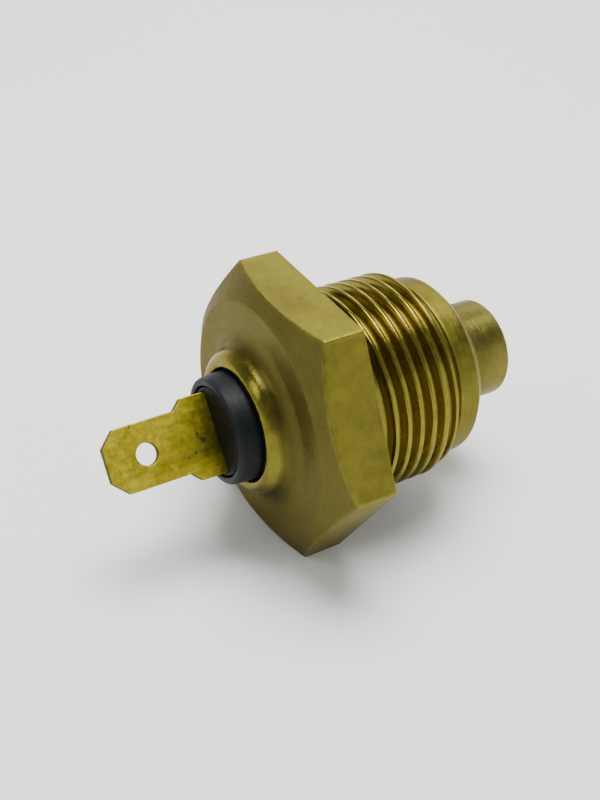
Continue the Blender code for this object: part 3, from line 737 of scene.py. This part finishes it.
def hex_body(brass):
    """Hexagon, thread, collar, nose and formed boss in one piece, with its shading marks."""
    angles = hex_angles()
    ones = np.ones_like(angles)
    nose = soften([
        (NECK_END, THREAD_ROOT),
        (-11.3, NECK_RADIUS),
        (-11.85, NECK_RADIUS),
        (COLLAR_FIRST, COLLAR_RADIUS),
        (COLLAR_LAST, COLLAR_RADIUS),
        (NOSE_X, 8.1),
        (NOSE_X, 6.35),
        (-15.5, 6.3),
        (BUSH_SEAT, 6.3),
        (BUSH_SEAT, BORE_RADIUS),
        (CHAMBER_FLOOR, BORE_RADIUS),
        (CHAMBER_FLOOR, CHAMBER_RADIUS),
        (BOSS_TOP - 1.0, CHAMBER_RADIUS),
        (BOSS_TOP - 1.0, LIP_RADIUS),
        (BOSS_TOP - 0.3, LIP_RADIUS),
    ], 0.14, closed=False)
    neck = soften([
        (-0.02, SEAT_RELIEF_RADIUS),
        (-0.12, 12.8),
        (-0.12, 11.35),
        (0.0, 11.2),
        (0.0, 10.3),
        (-0.25, 9.95),
        (-1.1, 9.95),
        (-1.3, THREAD_ROOT),
    ], 0.2, closed=False)
    rows = [(x * ones, radius * ones) for x, radius in nose[::-1]]
    root_steps = np.linspace(-10.6, -1.5, 8)
    rows += [(x * ones, THREAD_ROOT * ones) for x in root_steps]
    rows += [(x * ones, radius * ones) for x, radius in neck[::-1]]
    # the hexagon: seat face, sides, chamfer cone and terminal face, with rounded edges between
    side = hex_radius(angles, HEX_CORNER_ROUND)
    soft = HEX_EDGE_ROUND
    rise = HEX_CORNER_HEIGHT + (HEX_CORNER - side) * CHAMFER_SLOPE
    rows.append((0 * ones, 0.5 * (side - soft) + 0.5 * SEAT_RELIEF_RADIUS))
    rows.append((0 * ones, side - soft * 1.6))
    for share in np.linspace(0, 1, 5):
        turn = share * math.pi / 2
        rows.append((soft * (1 - np.cos(turn)) * ones, side - soft * (1 - np.sin(turn))))
    for share in (0.06, 0.35, 0.65, 0.94):
        rows.append((soft + (rise - 2 * soft) * share, side))
    for share in np.linspace(0, 1, 5):
        before = np.array([-soft, 0.0]) * (1 - share) ** 2
        after = np.array([math.sin(math.pi / 6), -math.cos(math.pi / 6)]) * soft * share ** 2
        rows.append((rise + before[0] + after[0], side + before[1] + after[1]))
    cone_end = FACE_RADIUS + FACE_ROUND
    edge_radius = side - soft * math.cos(math.pi / 6)
    for share in (0.12, 0.4, 0.7, 0.95):
        radius = edge_radius + (cone_end - edge_radius) * share
        rows.append((HEX_CORNER_HEIGHT + (HEX_CORNER - radius) * CHAMFER_SLOPE, radius))
    for share in np.linspace(0, 1, 5):
        radius = FACE_RADIUS + FACE_ROUND * (1 - share) ** 2 - FACE_ROUND * share ** 2
        x = FACE_X - FACE_ROUND * CHAMFER_SLOPE * (1 - share) ** 2
        rows.append((x * ones, radius * ones))
    for radius in (11.3, 10.4, 9.6):
        rows.append((FACE_X * ones, radius * ones))
    rows += boss_rows(angles)
    body = revolve("hex_body_look", rows, angles, closed=True)

    thread = grown("thread_ridge", thread_tree(), {
        "Start": (THREAD_LAST + SEAT_X) * MM,
        "Length": (THREAD_FIRST - THREAD_LAST) * MM,
        "Root radius": THREAD_ROOT * MM,
        "Depth": (THREAD_RADIUS - THREAD_ROOT) * (1 + THREAD_BEDDING) * MM,
        "Pitch": THREAD_PITCH * MM,
        "Crest width": 0.3 * MM,
        "Run-out turns": 0.6,
        "Axis height": AXIS_HEIGHT * MM,
        "Material": brass,
    })
    body = closed_up(body, 40.0)
    thread = closed_up(thread, 75.0)
    body = joined(body, thread)

    # where painted shade and dirt, painted highlights and wear, tarnish with painted shade, and
    # cut faces show
    x, radius, angle = switch_places(body)
    cone = HEX_CORNER_HEIGHT + (HEX_CORNER - radius) * CHAMFER_SLOPE
    on_hex = ramp(x, 0.08, 0.2) * (1 - ramp(x - cone, -0.12, -0.05))
    mark_turning(body, 1 - on_hex)
    threaded = ramp(x, -11.6, NECK_END) * (1 - ramp(x, -1.2, -0.4)) * (radius < 11.1)
    valley = threaded * (1 - ramp(radius, THREAD_ROOT - 0.1, THREAD_RADIUS - 0.25))
    in_neck = radius < COLLAR_RADIUS - 0.05
    neck_shade = ramp(x, COLLAR_FIRST, -11.8) * (1 - ramp(x, -11.2, NECK_END)) * in_neck
    near_lip = 1 - ramp(radius, LIP_RADIUS, LIP_RADIUS + 0.35)
    lip_shade = ramp(x, BOSS_TOP - 1.4, BOSS_TOP - 0.1) * near_lip
    inner = radius < CHAMBER_RADIUS + 0.3
    hidden = inner * (1 - ramp(x, BOSS_TOP - 0.9, BOSS_TOP - 0.2))
    fillet = ramp(x, FACE_X - 0.02, FACE_X + 0.5) * (1 - ramp(x, FACE_X + 1.0, FACE_X + 1.7))
    fillet_shade = fillet * (radius > BOSS_RADIUS - 0.5) * (radius < BOSS_BASE_RADIUS)
    # painted shade in the thread valleys, the neck, by the lip, inside the chamber and in the boss
    # fillet, partly standing for dirt
    shade_and_dirt = np.maximum.reduce([
        valley * 0.10, neck_shade * 0.5, lip_shade * 0.7, hidden * 0.6, fillet_shade * 0.62
    ])
    mark(body, "shade_and_dirt", shade_and_dirt)
    # thread crests, hex edges and the collar rim are painted brighter: painted highlights, partly
    # standing for wear
    crest = threaded * ramp(radius, THREAD_RADIUS - 0.12, THREAD_RADIUS - 0.02)
    side_here = hex_radius(angle, HEX_CORNER_ROUND)
    sharp_edge = HEX_CORNER_HEIGHT + (HEX_CORNER - side_here) * CHAMFER_SLOPE
    near_cone = np.exp(-((x - sharp_edge) / 0.07) ** 2) * (radius > side_here - 0.12) * (x > 1)
    near_seat = np.exp(-((x - 0.03) / 0.06) ** 2) * (radius > side_here - 0.1)
    corner_line = (side_here > HEX_CORNER - 0.16) * (radius > side_here - 0.05) * 0.7
    collar_edge = np.exp(-((x - COLLAR_LAST) / 0.1) ** 2) * (radius > COLLAR_RADIUS - 0.2)
    edges = crest + near_cone + near_seat + corner_line + collar_edge * 0.7
    mark(body, "edge", np.clip(edges, 0, 1))
    # the terminal face, cone, boss and seat face are dulled: tarnish and painted shade
    terminal_side = ramp(x - np.minimum(cone, FACE_X), -0.12, -0.02) * (radius > 7.4) * (x > 3)
    seat_side = (x < 0.02) * (x > -0.3) * (radius > 10.6)
    boss = ramp(x, FACE_X + 0.02, FACE_X + 1.0) * (radius < BOSS_BASE_RADIUS)
    mark(body, "tarnish_and_shade", np.clip(terminal_side * (0.9 - 0.52 * boss) + seat_side * 0.7, 0, 1))
    mark(body, "polish", np.clip(boss * 0.85 + threaded * 0.82, 0, 1))
    mark(body, "flank", threaded * (1 - crest))
    body.data.materials.clear()
    body.data.materials.append(brass)
    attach(body, "switch_body")
    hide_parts("hex_body")


# ---------------------------------------------------------------- turned pieces

def turned_piece(name, profile, rounding, closed):
    """A piece turned from an (x, radius) outline, with its corners rounded."""
    rows = soften(profile, rounding, closed)
    piece = revolve(name, rows, even_angles(TURN_STEPS), closed)
    return closed_up(piece, 40.0)


def plunger(brass):
    """The stub, with the seal groove, flange and spigot that lie inside."""
    spigot_top = -4.85
    socket = 1.3
    profile = [
        (PLUNGER_END, 0.4),
        (PLUNGER_END, 1.6),
        (PLUNGER_END, PLUNGER_RADIUS - 0.3),
        (PLUNGER_END + 0.3, PLUNGER_RADIUS),
        (-12.6, PLUNGER_RADIUS),
        (-12.6, 4.3),
        (-10.2, 4.3),
        (-10.2, PLUNGER_RADIUS),
        (-7.05, PLUNGER_RADIUS),
        (-7.05, 6.2),
        (-5.85, 6.2),
        (-5.85, 3.7),
        (spigot_top, 3.7),
        (spigot_top, socket),
        (-8.25, socket),
        (-8.25, 0.4),
    ]
    piece = turned_piece("plunger_look", profile, 0.12, closed=False)
    x, radius, _ = switch_places(piece)
    mark_turning(piece)
    # painted shade at the stub's root by the bush, and a painted highlight on its end rim
    root = ramp(x, -16.6, -15.9) * (radius > 5.0)
    rim = np.exp(-((x - PLUNGER_END - 0.25) / 0.12) ** 2) * (radius > 4.9)
    mark(piece, "shade_and_dirt", root * 0.6)
    mark(piece, "edge", rim * 0.8)
    piece.data.materials.append(brass)
    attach(piece, "plunger_unit")
    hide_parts("plunger")


def guide_bush(bronze):
    """The ring in the nose in which the plunger slides."""
    profile = [
        (-15.9, 5.55),
        (-15.9, 5.85),
        (-15.75, BUSH_RADIUS),
        (-12.7, BUSH_RADIUS),
        (-12.7, BUSH_HOLE_RADIUS),
        (-15.75, BUSH_HOLE_RADIUS),
    ]
    piece = turned_piece("guide_bush_look", profile, 0.1, closed=True)
    x, radius, _ = switch_places(piece)
    mark_turning(piece)
    # painted shade in the hole and on the end inside the body, and a painted highlight on the
    # outer rim
    in_hole = 1 - ramp(radius, BUSH_HOLE_RADIUS, BUSH_HOLE_RADIUS + 0.2)
    mark(piece, "shade_and_dirt", 0.6 * in_hole + 0.5 * (x > NOSE_X + 0.05))
    mark(piece, "edge", 0.6 * (x < -15.7) * ramp(radius, 5.5, 5.7))
    piece.data.materials.append(bronze)
    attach(piece, "switch_body")
    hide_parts("guide_bush")


def insulator(black):
    """The moulded insulator, with a slot for the blade and a well for the resin."""
    profile = [
        (5.9, 0.65),
        (5.9, 3.9),
        (2.4, 3.9),
        (2.4, 6.3),
        (3.9, 6.3),
        (3.9, INSULATOR_RADIUS),
        (4.9, INSULATOR_RADIUS),
        (4.9, 6.3),
        (6.6, 6.3),
        (6.6, INSULATOR_RADIUS),
        (BOSS_TOP, INSULATOR_RADIUS),
        (10.45, 5.48),
        (10.74, 5.38),
        (10.87, 5.24),
        (10.9, 5.1),
        (10.9, 4.7),
        (10.1, 4.7),
        (10.1, 0.65),
    ]
    piece = turned_piece("insulator_look", profile, 0.16, closed=True)
    cut_box(piece, 8.4, 13.0, 8.8, 1.4)
    cut_box(piece, 1.0, 13.0, 3.2, 1.4)
    piece = closed_up(piece, 40.0)
    x, radius, _ = switch_places(piece)
    mark_turning(piece)
    # the rounded front edge is painted paler: a painted highlight
    mark(piece, "edge", np.exp(-((x - 10.62) / 0.22) ** 2) * (radius > 4.8))
    piece.data.materials.append(black)
    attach(piece, "switch_body")
    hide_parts("insulator")


def resin_seal(resin):
    """The dark filling round the blade's root, a little domed at its rim."""
    profile = [
        (10.2, 4.55),
        (10.7, 4.55),
        (10.82, 4.3),
        (10.86, 3.0),
    ]
    piece = turned_piece("resin_look", profile, 0.1, closed=False)
    cut_box(piece, 9.0, 12.0, 8.4, 1.0)
    piece = closed_up(piece, 40.0)
    piece.data.materials.append(resin)
    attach(piece, "switch_body")
    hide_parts("resin_seal")


# ---------------------------------------------------------------- blade

def blade(metal):
    """The flat terminal: cut corners, a round hole, a wider root and a tang."""
    tip = 22.2
    half = 3.15
    root = 4.1
    thick = 0.8
    outline = [
        (tip, half - 1.5),
        (tip - 1.5, half),
        (14.4, half),
        (13.9, half + 0.5),
        (13.4, root),
        (8.7, root),
        (8.7, 1.3),
        (4.64, 1.3),
    ]
    outline += [(x, -across) for x, across in reversed(outline)]
    hole_steps = 48
    hole_radius = 1.1
    hole = []
    for step in range(hole_steps):
        angle = 2 * math.pi * step / hole_steps
        x = tip - 4.1 + hole_radius * math.cos(angle)
        hole.append((x, hole_radius * math.sin(angle)))
    edit = bmesh.new()
    for loop in (outline, hole):
        corners = [edit.verts.new((x + SEAT_X, -thick / 2, across)) for x, across in loop]
        for index, corner in enumerate(corners):
            edit.edges.new((corner, corners[(index + 1) % len(corners)]))
    bmesh.ops.triangle_fill(edit, edges=edit.edges[:], use_beauty=True)
    grown_faces = bmesh.ops.extrude_face_region(edit, geom=edit.faces[:])
    moved = [item for item in grown_faces["geom"] if isinstance(item, bmesh.types.BMVert)]
    bmesh.ops.translate(edit, verts=moved, vec=(0, thick, 0))
    bmesh.ops.dissolve_limit(edit, angle_limit=0.01, verts=edit.verts[:], edges=edit.edges[:])
    bmesh.ops.rotate(edit, matrix=Matrix.Rotation(BLADE_TURN, 3, "X"), verts=edit.verts)
    bmesh.ops.translate(edit, vec=(0, 0, AXIS_HEIGHT), verts=edit.verts)
    bmesh.ops.scale(edit, vec=Vector((MM, MM, MM)), verts=edit.verts)
    bmesh.ops.recalc_face_normals(edit, faces=edit.faces)
    mesh = bpy.data.meshes.new("blade_look")
    edit.to_mesh(mesh)
    edit.free()
    piece = new_object("blade_look", mesh)
    bevel = piece.modifiers.new("edges", "BEVEL")
    bevel.width = 0.09 * MM
    bevel.segments = 3
    bevel.limit_method = "ANGLE"
    bevel.angle_limit = math.radians(35)
    baked(piece)
    piece = closed_up(piece, 50.0)
    x, _, _ = switch_places(piece)
    # painted shade at the blade's root, fading out along the blade
    mark(piece, "shade_and_dirt", 1 - ramp(x, 10.9, 12.6))
    across_blade = Vector((0, math.cos(BLADE_TURN), math.sin(BLADE_TURN)))
    facing = [abs(face.normal.dot(across_blade)) for face in piece.data.polygons]
    # only the two broad faces look across the blade; the others were sheared
    sheared = piece.data.attributes.new("sheared", "FLOAT", "FACE")
    sheared.data.foreach_set("value", 1 - ramp(np.array(facing), 0.6, 0.97))
    piece.data.materials.append(metal)
    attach(piece, "switch_body")
    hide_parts("terminal_blade")


# ---------------------------------------------------------------- springs and inner pieces

def springs(steel):
    """The return spring and the contact spring, as fixed coils; in the switch both shorten as the
    plunger goes in.
    """
    tree = coil_tree()
    made = [
        ("return_spring", "switch_body", -5.55, 0.65, 4.9, 0.45, 5.0),
        ("contact_spring", "plunger_unit", -4.55, -0.1, 2.75, 0.25, 5.0),
    ]
    for name, body, near, far, radius, wire, turns in made:
        piece = grown(name + "_look", tree, {
            "Start": (near + wire + SEAT_X) * MM,
            "Length": (far - near - 2 * wire) * MM,
            "Radius": radius * MM,
            "Turns": turns,
            "Wire radius": wire * MM,
            "Axis height": AXIS_HEIGHT * MM,
            "Material": steel,
        })
        piece = closed_up(piece, 60.0)
        piece.data.materials.clear()
        piece.data.materials.append(steel)
        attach(piece, body)
        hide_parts(name)
        if name == "return_spring":
            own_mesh(piece)
        else:
            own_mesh(piece)


def inner_pieces(steel):
    """The CAD pieces that keep their shape, each with its own material."""
    rubber = plain_material("rubber_look", (0.028, 0.028, 0.028), (0.012, 0.012, 0.012), 0.72, 0.0)
    white = plain_material("white_look", (0.80, 0.79, 0.75), (0.68, 0.66, 0.60), 0.45, 0.0)
    fibre = plain_material(
        "fibre_look", (0.070, 0.034, 0.022), (0.040, 0.020, 0.014), 0.80, 0.0, 1400.0
    )
    silver = plain_material("silver_look", (0.80, 0.79, 0.76), (0.55, 0.53, 0.50), 0.30, 1.0)
    cap = plain_material("cap_look", (0.60, 0.47, 0.10), (0.40, 0.29, 0.06), 0.36, 1.0)
    wear = {
        "plunger_seal": rubber,
        "insulator_seal": rubber,
        "backup_ring": white,
        "stop_washer": fibre,
        "clamp_washer": fibre,
        "moving_contact": silver,
        "fixed_contact": silver,
        "contact_carrier": cap,
        "contact_cap": cap,
        "guide_pin": steel,
        "spring_seat": steel,
        "setting_shim": steel,
    }
    for name, material in wear.items():
        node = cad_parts[name]
        node.data.materials.clear()
        node.data.materials.append(material)


# ---------------------------------------------------------------- table, light and camera

def table_top():
    """The pale table on which the switch lies."""
    material, t, shader = shader_tree("table_paint")
    place = object_place(t)
    cloud = noise(t, place, 9.0, 3.0, 0.5)
    grain = noise(t, place, 900.0, 3.0, 0.5)
    tone = t.maths("ADD", t.maths("MULTIPLY", cloud, 0.5), t.maths("MULTIPLY", grain, 0.5))
    colour = mixed(t, spread(t, tone, 0.3, 0.7), (0.90, 0.90, 0.89), (0.93, 0.93, 0.92))
    t.link(colour, shader.inputs["Base Color"])
    t.link(spread(t, grain, 0.3, 0.7, 0.55, 0.7), shader.inputs["Roughness"])
    bumped(t, shader, [(grain, 0.00002, 0.2)])
    # far from the lamps the table glows a little, so it stays pale out to its edge
    reach = t.add("ShaderNodeVectorMath", operation="LENGTH")
    t.link(place, reach.inputs[0])
    past = t.maths("MAXIMUM", t.maths("SUBTRACT", reach.outputs["Value"], 0.12), 0.0)
    spent = t.maths("ADD", t.maths("POWER", t.maths("DIVIDE", past, 0.42), 2.0), 1.0)
    left = t.maths("POWER", spent, -2.0)
    glow = t.maths("MULTIPLY", t.maths("SUBTRACT", 1.0, left), 1.45)
    t.link(glow, shader.inputs["Emission Strength"])
    shader.inputs["Emission Color"].default_value = (1.0, 1.0, 1.0, 1.0)
    size = 3000.0
    drop = -0.02
    corners = [(-size, -size, drop), (size, -size, drop), (size, size, drop), (-size, size, drop)]
    floor = mesh_from("table_top", corners, [(0, 1, 2, 3)])
    floor.data.materials.append(material)


def soft_light(name, place, aim, width, height, brightness, colour=(1, 1, 1)):
    """A soft box: brightness is that of its face, so its power follows from its size."""
    data = bpy.data.lights.new(name, "AREA")
    data.shape = "RECTANGLE"
    data.size = width * MM
    data.size_y = height * MM
    data.energy = brightness * math.pi * width * height * MM * MM
    data.color = colour
    lamp = bpy.data.objects.new(name, data)
    bpy.context.scene.collection.objects.link(lamp)
    lamp.location = Vector(place) * MM
    toward = (Vector(aim) - Vector(place)).normalized()
    lamp.rotation_mode = "QUATERNION"
    lamp.rotation_quaternion = toward.to_track_quat("-Z", "Y")


def studio():
    """A pale room and four soft boxes."""
    world = bpy.data.worlds.new("studio")
    bpy.context.scene.world = world
    world.use_nodes = True
    t = Tree(world.node_tree)
    background = world.node_tree.nodes["Background"]
    height = t.add("ShaderNodeSeparateXYZ")
    t.link(t.add("ShaderNodeTexCoord").outputs["Generated"], height.inputs[0])
    rise = spread(t, height.outputs["Z"], 0.05, 0.75)
    sky = mixed(t, rise, (0.98, 0.98, 0.98), (0.42, 0.43, 0.45))
    low = t.maths("POWER", spread(t, height.outputs["Z"], 0.0, 0.3, 1.0, 0.0), 2.0)
    t.link(mixed(t, low, sky, (2.2, 2.2, 2.2)), background.inputs["Color"])
    background.inputs["Strength"].default_value = 0.85
    centre = (0, 0, 12)
    soft_light("overhead", (-40, -60, 420), centre, 280, 220, 17.0)
    soft_light("back_window", (-230, -330, 250), centre, 280, 170, 3.3, (1.0, 0.99, 0.97))
    soft_light("side_window", (330, -60, 300), centre, 110, 220, 4.0, (1.0, 0.99, 0.97))
    soft_light("right_fill", (-260, 330, 160), centre, 240, 160, 1.0, (0.97, 0.98, 1.0))


def camera():
    """Looks at the terminal side from above."""
    data = bpy.data.cameras.new("camera")
    data.sensor_width = 36.0
    data.sensor_fit = "AUTO"
    data.lens = CAMERA_LENS
    data.clip_start = 0.005
    data.clip_end = 50.0
    eye = bpy.data.objects.new("camera", data)
    bpy.context.scene.collection.objects.link(eye)
    right = Vector(CAMERA_RIGHT).normalized()
    up = -Vector(CAMERA_DOWN)
    up = (up - right * up.dot(right)).normalized()
    back = right.cross(up)
    turn = Matrix((right, up, back)).transposed()
    eye.matrix_world = Matrix.Translation(Vector(CAMERA_PLACE) * MM) @ turn.to_4x4()
    bpy.context.scene.camera = eye


# ---------------------------------------------------------------- assembly

body_brass = brass_material(
    "body_brass", (0.198, 0.174, 0.024), (0.112, 0.096, 0.016), (0.028, 0.020, 0.005), 0.38
)
stub_brass = brass_material(
    "stub_brass", (0.190, 0.170, 0.036), (0.110, 0.097, 0.022), (0.030, 0.025, 0.007), 0.33,
    grain=0.7, lines=0.8
)
bush_bronze = brass_material(
    "bush_bronze", (0.23, 0.19, 0.035), (0.13, 0.105, 0.02), (0.035, 0.025, 0.008), 0.36,
    grain=0.8, lines=0.5
)
strip_brass = blade_material("strip_brass")
black_plastic = moulded_material("black_plastic")
dark_resin = plain_material(
    "dark_resin", (0.004, 0.004, 0.004), (0.002, 0.002, 0.002), 0.62, 0.0,
    scale=900.0, depth=0.00008, gleam=0.15
)
spring_steel = plain_material("spring_steel", (0.46, 0.46, 0.47), (0.30, 0.30, 0.31), 0.32, 1.0)

hex_body(body_brass)
plunger(stub_brass)
guide_bush(bush_bronze)
insulator(black_plastic)
resin_seal(dark_resin)
blade(strip_brass)
springs(spring_steel)
inner_pieces(spring_steel)
table_top()
studio()
camera()
